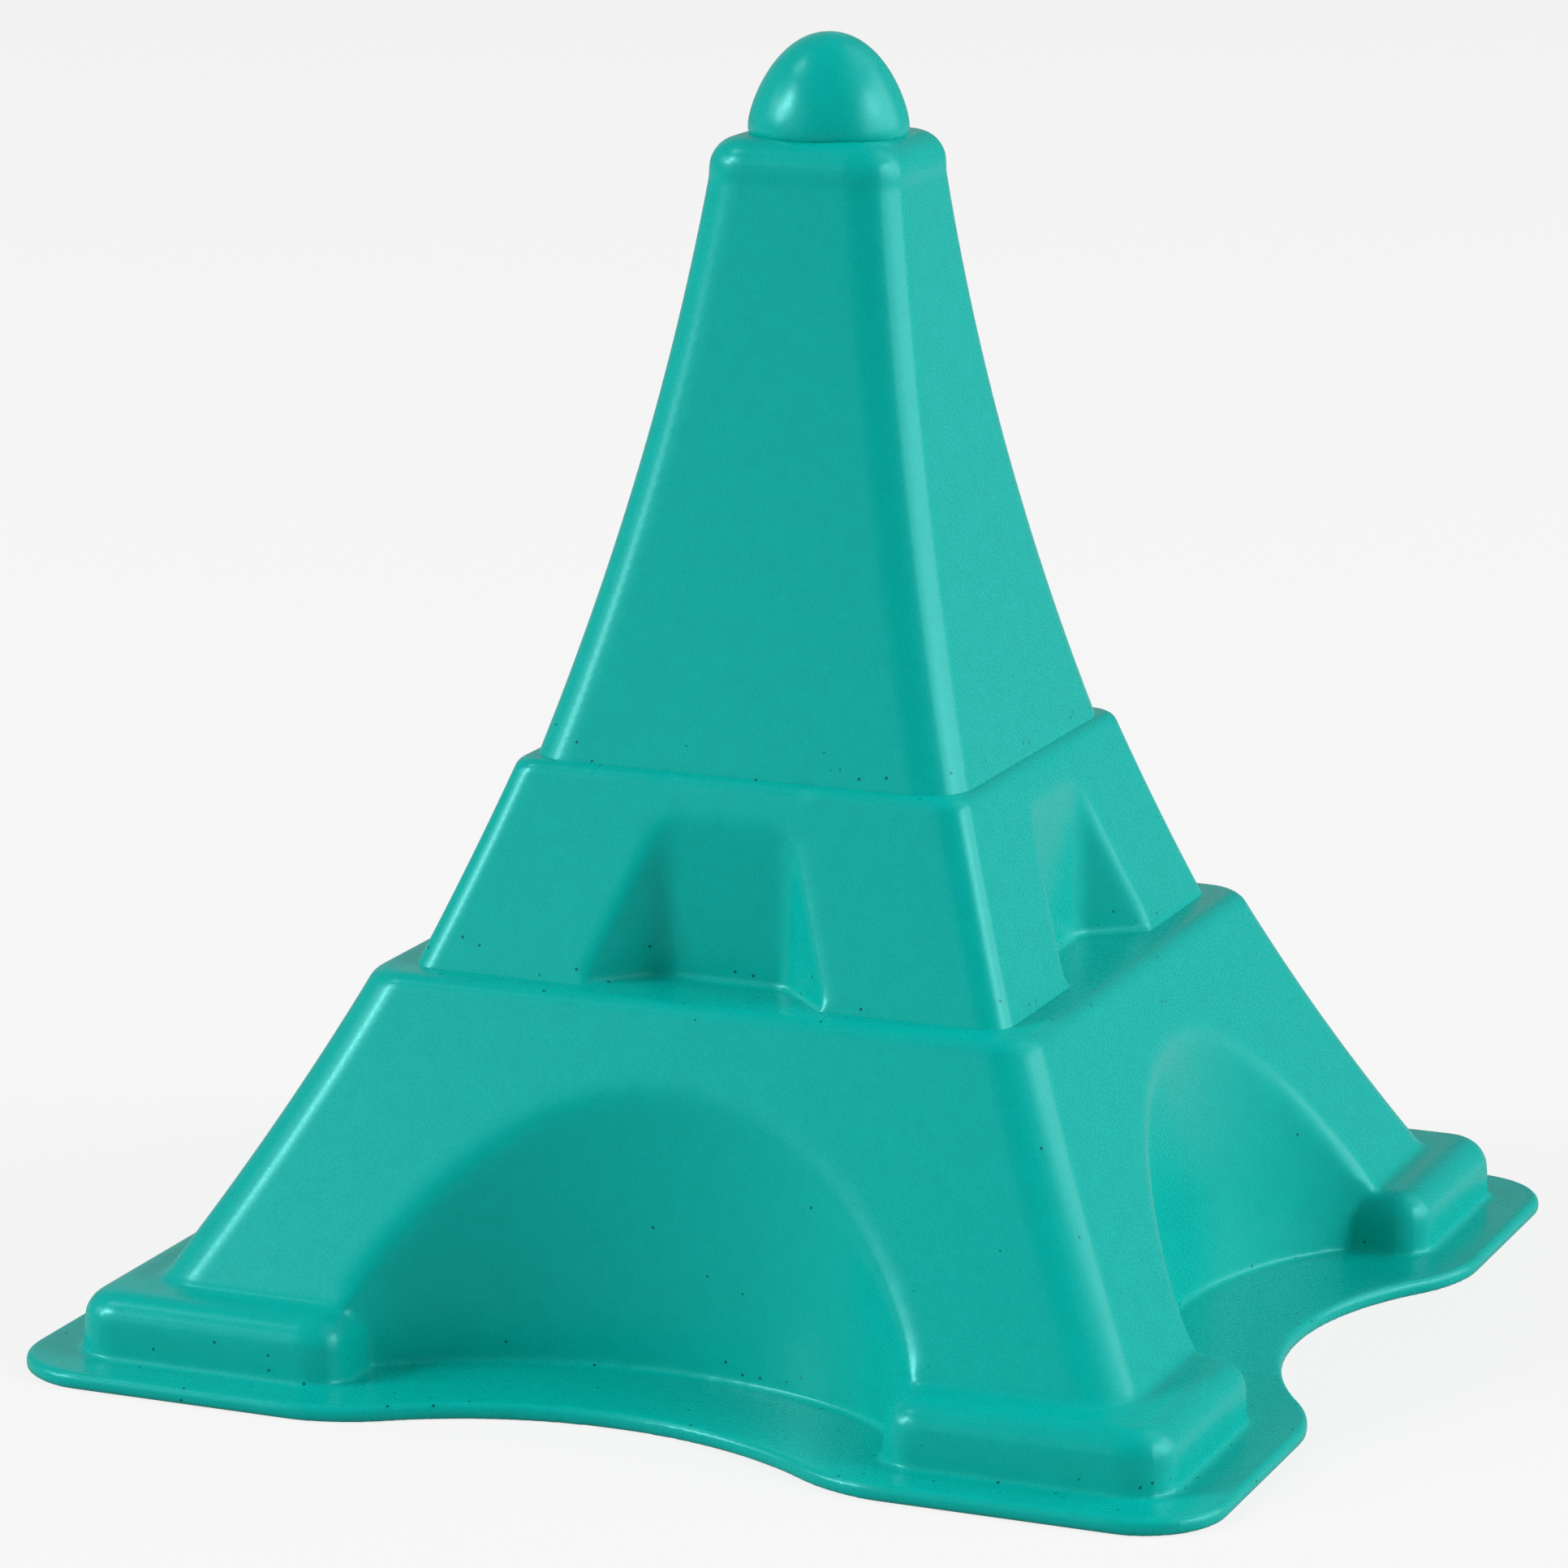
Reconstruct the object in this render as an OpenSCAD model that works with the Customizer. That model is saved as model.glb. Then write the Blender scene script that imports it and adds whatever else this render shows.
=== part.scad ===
// Sand mould shaped like a tall four-legged tower: one hollow plastic moulding, open underneath.
// Each module below is one zone of the moulding, and the zones meet face to face.
// Origin: centre of the base on the table. +Z is up, and -Y is the front.

/* [Overall] */
// Wall thickness, measured level
wall = 2; // [1.5:0.1:2.4]
// Colour of the plastic
plastic = "#1aa89c"; // ["#1aa89c", "#e2574c", "#f2b632"]

/* [Rim] */
// Thickness of the rim
rim_t = 2.6; // [2:0.1:3.4]
// How far the rim stands out from the feet
rim_margin = 8; // [6:0.1:14]
// Radius of the rim's corners
rim_corner_r = 13.6; // [9:0.2:18]
// Depth of the bay in each side of the rim
bay_depth = 15.2; // [11:0.2:17]
// Width of each bay, shoulders included
bay_w = 97; // [86:1:100]
// Radius of the bottom of each bay
bay_r = 58; // [45:1:62]

/* [Feet] */
// Height of the flat tops of the feet
foot_h = 12.4; // [10.5:0.1:15]
// How far the feet stand out from the faces of the lower stage
foot_step = 9.05; // [7:0.05:12]
// How far the feet's inner ends reach past the arch's edge
foot_reach = 2.8; // [1.6:0.1:4]
// Rounding of the top edges of the feet
foot_edge_r = 5; // [3:0.1:6]
// Radius of the outer corners, seen from above
foot_corner_r = 7; // [6.2:0.1:9]
// Radius of the inner ends, seen from above
foot_end_r = 6; // [4.5:0.1:7]

/* [Lower stage] */
// Width of the lower stage where it stands on the feet
lower_base_w = 157.9; // [150:0.1:166]
// Width of the lower stage where the first platform's edge starts to round
lower_top_w = 110.9; // [104:0.1:116]
// How far the sides bow inwards at half height
lower_bow = 0.75; // [0.1:0.05:1.5]
// Radius of the four upright edges
lower_corner_r = 6.4; // [5:0.1:9]

/* [Arches] */
// Width of each arch at the tops of the feet
arch_w = 91.6; // [86:0.2:98]
// Height left over each arch, up to the first platform's top
arch_drop = 11.9; // [8:0.1:16]
// Width of the arch wall where it meets the first platform
crown_w = 7; // [4:0.5:12]

/* [First platform] */
// Height of the first platform's top
platform1_z = 58.7; // [55:0.1:64]
// Rounding of its edge
platform1_r = 3; // [2.2:0.1:4]

/* [Middle stage] */
// Width of the ledge round the foot of the middle stage, rounding included
ledge1_w = 6.75; // [5:0.05:8]
// Width of the middle stage where the second platform's edge starts to round
middle_top_w = 75; // [73:0.1:78]
// How far its sides bow inwards at half height
middle_bow = 0.2; // [0.05:0.05:0.6]
// Radius of its four upright edges
middle_corner_r = 4; // [3.2:0.1:6]
// Height left over each niche, up to the second platform's top
niche_drop = 6.1; // [4:0.1:9]
// Width of the flat back of each niche
niche_back_w = 21; // [16:0.5:24]
// Width of each niche's mouth at its floor
niche_mouth_w = 39.8; // [34:0.5:46]

/* [Second platform] */
// Height of the second platform's top
platform2_z = 90.1; // [86:0.1:96]
// Rounding of its edge
platform2_r = 2; // [1.4:0.1:2.1]

/* [Spire] */
// Width of the ledge round the foot of the spire, rounding included
ledge2_w = 2.2; // [2.1:0.05:4]
// Width of the spire under the cap
spire_top_w = 31.5; // [28:0.1:35]
// How far its sides bow inwards at half height
spire_bow = 1.87; // [0.5:0.05:2.8]
// Radius of its four upright edges
spire_corner_r = 7; // [5.5:0.1:8]

/* [Cap and dome] */
// Height where the cap starts
cap_z = 178; // [170:0.2:192]
// Height of the cap
cap_h = 6.5; // [5.5:0.1:8]
// How much the cap narrows on each side before its edge starts to round
cap_draft = 0.15; // [0:0.05:0.5]
// Rounding of the cap's top edge
cap_edge_r = 4.7; // [3.5:0.1:5.4]
// How far the dome stands in from the cap's sides
dome_inset = 3.05; // [2.6:0.05:4.5]
// Height of the dome
dome_h = 15.5; // [12:0.1:20]

/* [Hidden] */

// Steps along a rounded edge, an upright corner, a foot's end, an arch and a stage's height
edge_steps = 3;
corner_steps = 6;
end_steps = 4;
arch_steps = 9;
arch_columns = 14;
spire_rows = 12;
niche_rows = 4;
dome_steps = 14;
// How much of the arch wall's oval lies within the legs, from front to back
arch_oval_share = 0.6;
// How much of a foot's end radius is left at its top, and how far a niche's side spreads at its top
end_top_share = 0.55;
niche_lip_share = 0.14;
// How far along a plain side its outline has points
plain_share = 0.7;
// How much of the cap's edge shows beside the dome
cap_edge_share = 0.69;
// Powers of a dome's height and width that shape it like the blunt end of an egg
dome_shape_shares = [1.5, 0.479];

foot_w = lower_base_w + 2 * foot_step;
foot_gap = arch_w - 2 * foot_reach;
foot_rise_z = foot_h - foot_edge_r;
rim_w = foot_w + 2 * rim_margin;
lower_top_z = platform1_z - platform1_r;
arch_top_z = platform1_z - arch_drop;
middle_base_w = lower_top_w - 2 * ledge1_w;
middle_top_z = platform2_z - platform2_r;
niche_top_z = platform2_z - niche_drop;
spire_base_w = middle_top_w - 2 * ledge2_w;
cap_w = spire_top_w - 2 * cap_draft;
cap_top_z = cap_z + cap_h;
dome_r = cap_w / 2 - dome_inset;

// Half width at height z of a stage that narrows from wa at za to wb at zb, with sides bowed in
function flare(z, za, zb, wa, wb, bow) =
    let (t = (z - za) / (zb - za))
    wa + (wb - wa) * t - 4 * bow * t * (1 - t);

function lower_half(z) =
    flare(z, foot_h, lower_top_z, lower_base_w / 2, lower_top_w / 2, lower_bow);
function middle_half(z) =
    flare(z, platform1_z, middle_top_z, middle_base_w / 2, middle_top_w / 2, middle_bow);
function spire_half(z) =
    flare(z, platform2_z, cap_z, spire_base_w / 2, spire_top_w / 2, spire_bow);

// Height at which the lower stage's side is w from the centre plane
function lower_height(w) =
    let (a = 4 * lower_bow,
         b = (lower_top_w - lower_base_w) / 2 - 4 * lower_bow,
         c = lower_base_w / 2 - w)
    foot_h + (lower_top_z - foot_h) * 2 * c / (sqrt(b * b - 4 * a * c) - b);

// The arch wall stands upright on an oval: its distance from the centre plane at side position x
arch_depth = lower_half(arch_top_z);
arch_sweep = (lower_base_w / 2 - arch_depth) / arch_oval_share;
arch_span = arch_w / 2 / sqrt(1 - pow(1 - arch_oval_share, 2));
function arch_wall(x) = arch_depth + arch_sweep * (1 - sqrt(1 - pow(x / arch_span, 2)));
function arch_lean(x) =
    atan(arch_sweep / arch_span * x / sqrt(arch_span * arch_span - x * x));

arch_foot_x = arch_w / 2;
crown_x = crown_w / 2;
crown_z = lower_height(arch_wall(crown_x));

// Points of an arc, from angle a0 to a1
function arc(cx, cy, r, a0, a1, steps) =
    [for (i = [0:steps]) let (a = a0 + (a1 - a0) * i / steps) [cx + r * cos(a), cy + r * sin(a)]];

// Points from a to b, ends included
function straight(a, b, steps) = [for (i = [0:steps]) a + (b - a) * i / steps];

// A half outline up to the diagonal through the front right corner, then its mirror image
function mirrored(half) =
    concat(half, [for (i = [len(half) - 2:-1:0]) [-half[i][1], -half[i][0]]]);

// A whole outline from the quarter between the front's middle and the right side's middle
function four(quarter) =
    [for (k = [0:3]) for (i = [0:len(quarter) - 2])
        let (p = quarter[i])
        k == 0 ? p : k == 1 ? [-p[1], p[0]] : k == 2 ? [-p[0], -p[1]] : [p[1], -p[0]]];

function raised(outline, z) = [for (p = outline) [p[0], p[1], z]];

// A wall between two grids of points with the same rows (upwards) and columns (to the right)
module wall_between(outer, inner) {
    rows = len(outer);
    cols = len(outer[0]);
    n = rows * cols;
    last_row = (rows - 1) * cols;
    last_col = cols - 1;
    sheet = [for (j = [0:rows - 2], i = [0:cols - 2]) let (a = j * cols + i)
        [[a, a + cols, a + cols + 1], [a, a + cols + 1, a + 1],
         [n + a, n + a + cols + 1, n + a + cols], [n + a, n + a + 1, n + a + cols + 1]]];
    ends = [for (i = [0:cols - 2]) let (b = last_row + i)
        [[i, i + 1, n + i + 1], [i, n + i + 1, n + i],
         [n + b, n + b + 1, b + 1], [n + b, b + 1, b]]];
    sides = [for (j = [0:rows - 2]) let (a = j * cols, b = a + last_col)
        [[n + a, n + a + cols, a + cols], [n + a, a + cols, a],
         [b, b + cols, n + b + cols], [b, n + b + cols, n + b]]];
    polyhedron(
        points = [for (grid = [outer, inner], row = grid) each row],
        faces = [for (part = [sheet, ends, sides], set = part) each set],
        convexity = 6);
}

// A closed ring whose section is the loop of rows: up the outside, and down the inside
module ring_of(rows) {
    m = len(rows);
    n = len(rows[0]);
    polyhedron(
        points = [for (row = rows) each row],
        faces = [for (j = [0:m - 1], i = [0:n - 1])
            let (a = j * n, b = (j + 1) % m * n, k = (i + 1) % n)
            each [[a + i, b + i, b + k], [a + i, b + k, a + k]]],
        convexity = 8);
}

// Rounded square outline with a niche of plan depth w - back in each side, drawn in by inset
function stage_outline(w, r, back, back_x, mouth_x, inset) =
    let (lean = atan((w - back) / (mouth_x - back_x)),
         shift = inset * tan(lean / 2),
         wi = w - inset)
    four(mirrored(concat(
        [[0, inset - back], [back_x + shift, inset - back], [mouth_x + shift, -wi]],
        arc(w - r, r - w, r - inset, -90, -45, corner_steps / 2))));

// The same without niches, and with as many points
function plain_outline(w, r, inset) =
    four(mirrored(concat(
        straight([0, inset - w], [(w - r) * plain_share, inset - w], 2),
        arc(w - r, r - w, r - inset, -90, -45, corner_steps / 2))));

niche_lip = niche_lip_share * niche_mouth_w / 2;
niche_back = middle_half(niche_top_z);

// Half width of a niche's mouth where the middle stage's side is w from the centre plane
function niche_mouth(w) =
    let (top = niche_back_w / 2 + niche_lip)
    top + (niche_mouth_w / 2 - top) * (w - niche_back) / (middle_base_w / 2 - niche_back);

function niche_outline(z, inset) =
    let (w = middle_half(z))
    stage_outline(w, middle_corner_r, niche_back, niche_back_w / 2, niche_mouth(w), inset);

// Outline of a foot at angle a up its rounded top edge, drawn in by inset, from arch to arch
function foot_outline(a, inset) =
    let (s = 1 - cos(a),
         w = foot_w / 2 - inset - (foot_edge_r - inset) * s,
         x = foot_gap / 2 + foot_reach * s,
         end_x = x + inset,
         end_r = (foot_end_r - inset) * (1 - (1 - end_top_share) * s),
         r = foot_corner_r - inset - (foot_edge_r - inset) * s)
    mirrored(concat(
        [[x + inset * tan(arch_lean(x) / 2), inset - arch_wall(x)]],
        arc(end_x + end_r, end_r - w, end_r, 180, 270, end_steps),
        arc(w - r, r - w, r, -90, -45, corner_steps / 2)));

// Inside outline of the leg that stands on a foot, with as many points as the foot's outline
function leg_socket() =
    let (x = arch_foot_x + wall * tan(arch_lean(arch_foot_x) / 2),
         w = lower_base_w / 2,
         r = lower_corner_r)
    mirrored(concat(
        straight([x, wall - w], [w - r - (w - r - x) / (end_steps + 2), wall - w], end_steps + 1),
        arc(w - r, r - w, r - wall, -90, -45, corner_steps / 2)));

// Outline of a leg where its arch edge is x from the centre plane
function leg_outline(x, inset) =
    let (w = arch_wall(x), r = lower_corner_r, edge_x = x + inset * tan(arch_lean(x) / 2))
    mirrored(concat(
        straight([edge_x, inset - w], [(edge_x + w - r) / 2, inset - w], 1),
        arc(w - r, r - w, r - inset, -90, -45, corner_steps / 2)));

// Rows of the arch wall: height and half width, up the feet's ends and then along the arch
edge_angles = [for (i = [0:edge_steps]) 90 * i / edge_steps];
arch_xs = [for (i = [0:arch_steps]) arch_foot_x + (crown_x - arch_foot_x) * i / arch_steps];
arch_rows = concat(
    [[rim_t, foot_gap / 2]],
    [for (a = edge_angles) [foot_rise_z + foot_edge_r * sin(a), foot_gap / 2 + foot_reach * (1 - cos(a))]],
    [for (i = [1:arch_steps]) [lower_height(arch_wall(arch_xs[i])), arch_xs[i]]]);

function arch_row(z, half, inset) =
    [for (i = [0:arch_columns])
        let (x = half * (2 * i / arch_columns - 1))
        [x + inset * tan(arch_lean(x) / 2), inset - arch_wall(x), z]];

// Outline of the rim, with a bay between two shoulders in each side
function rim_outline() =
    let (edge = rim_w / 2,
         half = bay_w / 2,
         rise = bay_r - bay_depth,
         shoulder_r = (half * half + rise * rise - bay_r * bay_r) / (2 * bay_depth),
         turn = atan(half / (rise + shoulder_r)))
    four(mirrored(concat(
        arc(0, -edge - rise, bay_r, 90, 90 - turn, 2 * corner_steps),
        [for (p = arc(half, shoulder_r - edge, shoulder_r, 270 - turn, 270, corner_steps))
            if (p[0] > bay_r * sin(turn)) p],
        arc(edge - rim_corner_r, rim_corner_r - edge, rim_corner_r, -90, -45, corner_steps))));

// The mouth through the rim: the inside of the feet and arch walls
function mouth_outline() =
    let (foot = foot_outline(0, wall),
         arch = arch_row(rim_t, foot_gap / 2, wall))
    [for (k = [0:3])
        for (p = concat([for (i = [arch_columns / 2:arch_columns - 1]) [arch[i][0], arch[i][1]]],
                        foot,
                        [for (i = [arch_columns - 1:-1:arch_columns / 2 + 1])
                            [-arch[i][1], -arch[i][0]]]))
            k == 0 ? p : k == 1 ? [-p[1], p[0]] : k == 2 ? [-p[0], -p[1]] : [p[1], -p[0]]];

module rim_flange() {
    color(plastic)
        linear_extrude(rim_t)
            difference() {
                polygon(rim_outline());
                polygon(mouth_outline());
            }
}

module foot(turn) {
    socket = leg_socket();
    color(plastic)
        rotate([0, 0, turn])
            wall_between(
                concat(
                    [raised(foot_outline(0, 0), rim_t)],
                    [for (a = edge_angles) raised(foot_outline(a, 0), foot_rise_z + foot_edge_r * sin(a))],
                    [raised(socket, foot_h)]),
                concat(
                    [raised(foot_outline(0, wall), rim_t)],
                    [for (a = edge_angles)
                        raised(foot_outline(a, wall), foot_rise_z + (foot_edge_r - wall) * sin(a))],
                    [raised(socket, foot_h - wall)]));
}

module leg(turn) {
    color(plastic)
        rotate([0, 0, turn])
            wall_between(
                [for (x = arch_xs) raised(leg_outline(x, 0), lower_height(arch_wall(x)))],
                [for (x = arch_xs) raised(leg_outline(x, wall), lower_height(arch_wall(x)))]);
}

module arch(turn) {
    color(plastic)
        rotate([0, 0, turn])
            wall_between(
                [for (row = arch_rows) arch_row(row[0], row[1], 0)],
                [for (row = arch_rows) arch_row(row[0], row[1], wall)]);
}

module first_platform() {
    w = lower_top_w / 2;
    r = lower_corner_r;
    inner_r = platform1_r - wall;
    color(plastic)
        ring_of(concat(
            [for (z = [crown_z, (crown_z + lower_top_z) / 2]) raised(plain_outline(lower_half(z), r, 0), z)],
            [for (a = edge_angles)
                let (s = platform1_r * (1 - cos(a)))
                raised(plain_outline(w - s, r - s, 0), lower_top_z + platform1_r * sin(a))],
            [raised(niche_outline(platform1_z, wall), platform1_z),
             raised(niche_outline(platform1_z, wall), platform1_z - wall)],
            [for (i = [edge_steps:-1:0])
                let (a = edge_angles[i], s = inner_r * (1 - cos(a)))
                raised(plain_outline(w - s, r - s, wall), lower_top_z + inner_r * sin(a))],
            [raised(plain_outline(lower_half(crown_z), r, wall), crown_z)]));
}

module middle_stage() {
    zs = straight(platform1_z, niche_top_z, niche_rows);
    color(plastic)
        ring_of(concat(
            [for (z = zs) raised(niche_outline(z, 0), z)],
            [for (i = [niche_rows:-1:0]) raised(niche_outline(zs[i], wall), zs[i])]));
}

module second_platform() {
    w = middle_top_w / 2;
    r = middle_corner_r;
    socket = plain_outline(spire_base_w / 2, spire_corner_r, wall);
    color(plastic)
        ring_of(concat(
            [raised(plain_outline(niche_back, r, 0), niche_top_z)],
            [for (a = edge_angles)
                let (s = platform2_r * (1 - cos(a)))
                raised(plain_outline(w - s, r - s, 0), middle_top_z + platform2_r * sin(a))],
            [raised(socket, platform2_z),
             raised(socket, platform2_z - wall),
             raised(plain_outline(niche_back, r, wall), niche_top_z)]));
}

module spire() {
    zs = straight(platform2_z, cap_z, spire_rows);
    color(plastic)
        ring_of(concat(
            [for (z = zs) raised(plain_outline(spire_half(z), spire_corner_r, 0), z)],
            [for (i = [spire_rows:-1:0])
                raised(plain_outline(spire_half(zs[i]), spire_corner_r, wall), zs[i])]));
}

// A circle of radius r with a point in the direction of each point of an outline
function round_like(outline, r) = [for (p = outline) p * r / norm(p)];

module cap() {
    round_z = cap_top_z - cap_edge_r;
    base = plain_outline(spire_top_w / 2, spire_corner_r, 0);
    top = plain_outline(cap_w / 2, spire_corner_r, 0);
    color(plastic)
        ring_of(concat(
            [raised(base, cap_z)],
            [for (turn = edge_angles)
                let (a = turn * cap_edge_share, s = cap_edge_r * (1 - cos(a)))
                raised(plain_outline(cap_w / 2 - s, spire_corner_r - s, 0), round_z + cap_edge_r * sin(a))],
            [raised(round_like(top, dome_r), cap_top_z),
             raised(round_like(top, dome_r - wall), cap_top_z),
             raised(round_like(top, dome_r - wall), cap_top_z - wall),
             raised(plain_outline(cap_w / 2, spire_corner_r, wall), round_z),
             raised(plain_outline(spire_top_w / 2, spire_corner_r, wall), cap_z)]));
}

module dome() {
    function side(r, h, steps) =
        [for (i = [0:steps])
            let (s = sin(90 * i / steps))
            [r * pow(1 - pow(s, dome_shape_shares[0]), dome_shape_shares[1]), cap_top_z + h * s]];
    outer = side(dome_r, dome_h, dome_steps);
    inner = side(dome_r - wall, dome_h - wall, dome_steps);
    color(plastic)
        rotate_extrude($fn = 72)
            polygon(concat(outer, [for (i = [dome_steps:-1:0]) inner[i]]));
}

rim_flange();
foot(-90);  // foot_front_left
foot(0);  // foot_front_right
foot(90);  // foot_back_right
foot(180);  // foot_back_left
leg(-90);  // leg_front_left
leg(0);  // leg_front_right
leg(90);  // leg_back_right
leg(180);  // leg_back_left
arch(0);  // arch_front
arch(90);  // arch_right
arch(180);  // arch_back
arch(270);  // arch_left
first_platform();
middle_stage();
second_platform();
spire();
cap();
dome();
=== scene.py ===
"""Sand mould in teal polypropylene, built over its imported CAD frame.

The real one is a single shot of plastic. Each of its stages is therefore modelled as one skin, a form
with the mould's hollow cut out of it, softened all over. Only then is it parted along its creases into
the pieces shown.
"""

import math

import bmesh
import bpy
from mathutils import Matrix, Vector


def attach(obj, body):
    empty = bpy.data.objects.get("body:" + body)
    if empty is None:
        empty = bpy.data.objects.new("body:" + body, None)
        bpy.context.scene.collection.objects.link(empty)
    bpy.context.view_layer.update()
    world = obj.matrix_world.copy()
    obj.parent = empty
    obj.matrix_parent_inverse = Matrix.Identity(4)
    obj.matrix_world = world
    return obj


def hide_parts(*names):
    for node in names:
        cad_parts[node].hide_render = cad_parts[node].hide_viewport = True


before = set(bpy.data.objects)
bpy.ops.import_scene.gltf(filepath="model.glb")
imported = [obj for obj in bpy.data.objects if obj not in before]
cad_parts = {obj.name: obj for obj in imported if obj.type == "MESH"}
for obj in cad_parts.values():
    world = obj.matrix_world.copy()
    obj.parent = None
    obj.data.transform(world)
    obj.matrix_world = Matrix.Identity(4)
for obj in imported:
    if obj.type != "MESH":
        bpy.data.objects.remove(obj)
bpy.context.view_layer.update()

MM = 0.001
QUARTER_TURN = math.pi / 2

# How near two heights have to be to count as the same, in metres
HAIR = 0.01 * MM

# Sizes of the moulding, in millimetres. They follow the CAD source. The dome is drawn a little bigger,
# because the smoothing shrinks it. A rounding is given by how far it reaches from its edge, which on a
# leaning side is less than its radius
WALL = 2.0
RIM_THICK = 2.6
RIM_HALF = 96.0
RIM_CORNER_R = 13.6
RIM_EDGE_R = 1.1
RIM_UNDER_R = 0.6
BAY_DEPTH = 15.2
BAY_HALF = 48.5
BAY_R = 58.0
FOOT_HALF = 88.0
FOOT_TOP = 12.4
FOOT_INNER_END = 43.0
FOOT_EDGE_R = 4.6
FOOT_CORNER_R = 7.0
FOOT_END_R = 6.0
FOOT_DRAFT = 0.5
LOWER_BASE_HALF = 78.95
LOWER_TOP_HALF = 55.45
LOWER_TOP_Z = 55.7
LOWER_BOW = 0.75
LOWER_CORNER_R = 6.4
ARCH_DEPTH = 59.79
ARCH_SPAN = 49.97
ARCH_SWEEP = 31.93
ARCH_POST_H = 80.0
ARCH_POST_MIDDLE_Z = 30.0
PLATFORM1_Z = 58.7
PLATFORM1_ROUND = 2.0
MIDDLE_BASE_HALF = 48.7
MIDDLE_TOP_HALF = 37.5
MIDDLE_TOP_Z = 88.1
MIDDLE_BOW = 0.2
MIDDLE_CORNER_R = 4.0
NICHE_BACK = 38.98
NICHE_BACK_HALF = 10.5
NICHE_MOUTH_HALF = 19.9
NICHE_CORNER_R = 2.2
NICHE_FLOOR_R = 0.9
NICHE_FLOOR_SINK = 0.05
NICHE_CUT_REACH = 12.0
PLATFORM2_Z = 90.1
PLATFORM2_ROUND = 1.6
SPIRE_BASE_HALF = 35.3
SPIRE_TOP_HALF = 15.75
SPIRE_BOW = 1.87
SPIRE_CORNER_R = 7.0
CAP_Z = 178.0
CAP_HALF = 15.55
CAP_TOP_Z = 184.5
CAP_EDGE_R = 4.7
DOME_R = 12.85
DOME_H = 15.75
DOME_POWERS = (1.5, 0.479)

# A niche's sides splay by about 45 degrees, so its inner corners move sideways by this share of the inset
NICHE_SHIFT_SHARE = math.tan(math.pi / 8)

# On the ball of radius 1 that the dome is shaped from: where its foot ends and its tip begins, and how
# near a corner lies to its ring's height
BALL_FOOT, BALL_TIP = 0.001, 0.9999
RING_HAIR = 1e-4

# How far a cutter runs past what it cuts, and where the pieces of the hollow start, so that they open it
OVERRUN = 5.0
CUT_ROOM = 1.0
HOLLOW_SINK = 2.0
HOLLOW_LOW_Z = -2.0
FOOT_HOLLOW_LOW_Z = -1.0

# How near a corner of a foot's block, or of a niche's slot, lies to the side that it is picked by
CORNER_ROOM = 2
BACK_ROOM = 1

# Sides of the round posts and of the dome before they are cut
ARCH_POST_SIDES = 192
BAY_POST_SIDES = 256
DOME_SIDES, DOME_RINGS = 96, 48

# How far the soft rounding of the arches' and niches' edges and round the legs reaches, and its strength
ARCH_SOFT_REACH = 4.0
NICHE_SOFT_REACH = 4.0
NICHE_SOFT_SHARE = 0.5
LEG_SOFT_REACH = 3.5
LEG_SOFT_SHARE = 0.3
SOFT_STEPS = 120
LEAST_SOFTNESS = 0.01

# How much is left out at each end of an arch's oval, where its wall is too steep to measure from
ARCH_END_ROOM = 1.0

# Height over the feet, or over a niche's floor, at which the softness starts and over which it grows
ARCH_SOFT_START = 0.5
ARCH_SOFT_RISE = 4
NICHE_SOFT_START = 0.6
NICHE_SOFT_RISE = 2

# Distance to a leaning side, as a share of the level distance to it
LOWER_LEAN_SHARE = 0.88
MIDDLE_LEAN_SHARE = 0.93

# Height of the rows that a stage's curved sides are made of, and the plain height left at its top
ROW_H = 1.6
LOWER_TOP_GAP = 4.0
MIDDLE_TOP_GAP = 3.0

# How finely the skin is meshed, how much it is smoothed, and the share of its faces that is kept
SKIN_VOXEL = 0.5
SMOOTH_STRENGTH = 0.5
SMOOTH_STEPS = 2
KEPT_SHARE = 0.45

# Where the skin is parted: just over each crease, at the arches' and niches' tops, and beside the feet
OVER_CREASE = 1.0
ARCH_TOP_Z = 46.8
NICHE_TOP_Z = 84.0
LEG_INNER = 42.5

# Name under which a skin's shading is noted on it before it is parted
NORMAL_NOTE = "whole_skin_normal"

# Distance in metres at which a cut takes a point as lying on it. A bigger one leaves slivers in the cut
CUT_TOLERANCE = 1e-6

# A face whose normal rises less than this counts as steep, and one that rises more as level
STEEP_RISE = 0.7


def flare(z, low_z, high_z, low_half, high_half, bow):
    """Half width at height z of a stage whose sides bow inwards."""
    t = (z - low_z) / (high_z - low_z)
    return low_half + (high_half - low_half) * t - 4 * bow * t * (1 - t)


def lower_half(z):
    return flare(z, FOOT_TOP, LOWER_TOP_Z, LOWER_BASE_HALF, LOWER_TOP_HALF, LOWER_BOW)


def middle_half(z):
    return flare(z, PLATFORM1_Z, MIDDLE_TOP_Z, MIDDLE_BASE_HALF, MIDDLE_TOP_HALF, MIDDLE_BOW)


def spire_half(z):
    if z > CAP_Z:
        return SPIRE_TOP_HALF + (CAP_HALF - SPIRE_TOP_HALF) * (z - CAP_Z) / (CAP_TOP_Z - CAP_Z)
    return flare(z, PLATFORM2_Z, CAP_Z, SPIRE_BASE_HALF, SPIRE_TOP_HALF, SPIRE_BOW)


# Modelling helpers: a primitive is added alone, then shaped in edit mode by what is picked

def add_alone(name, primitive, **settings):
    bpy.ops.object.select_all(action="DESELECT")
    primitive(location=(0, 0, 0), **settings)
    piece = bpy.context.active_object
    piece.name = piece.data.name = name
    return piece


def open_piece(piece, kind="VERT"):
    bpy.ops.object.select_all(action="DESELECT")
    piece.select_set(True)
    bpy.context.view_layer.objects.active = piece
    bpy.ops.object.mode_set(mode="EDIT")
    bpy.ops.mesh.select_mode(type=kind)


def close_piece():
    bpy.ops.object.mode_set(mode="OBJECT")


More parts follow.
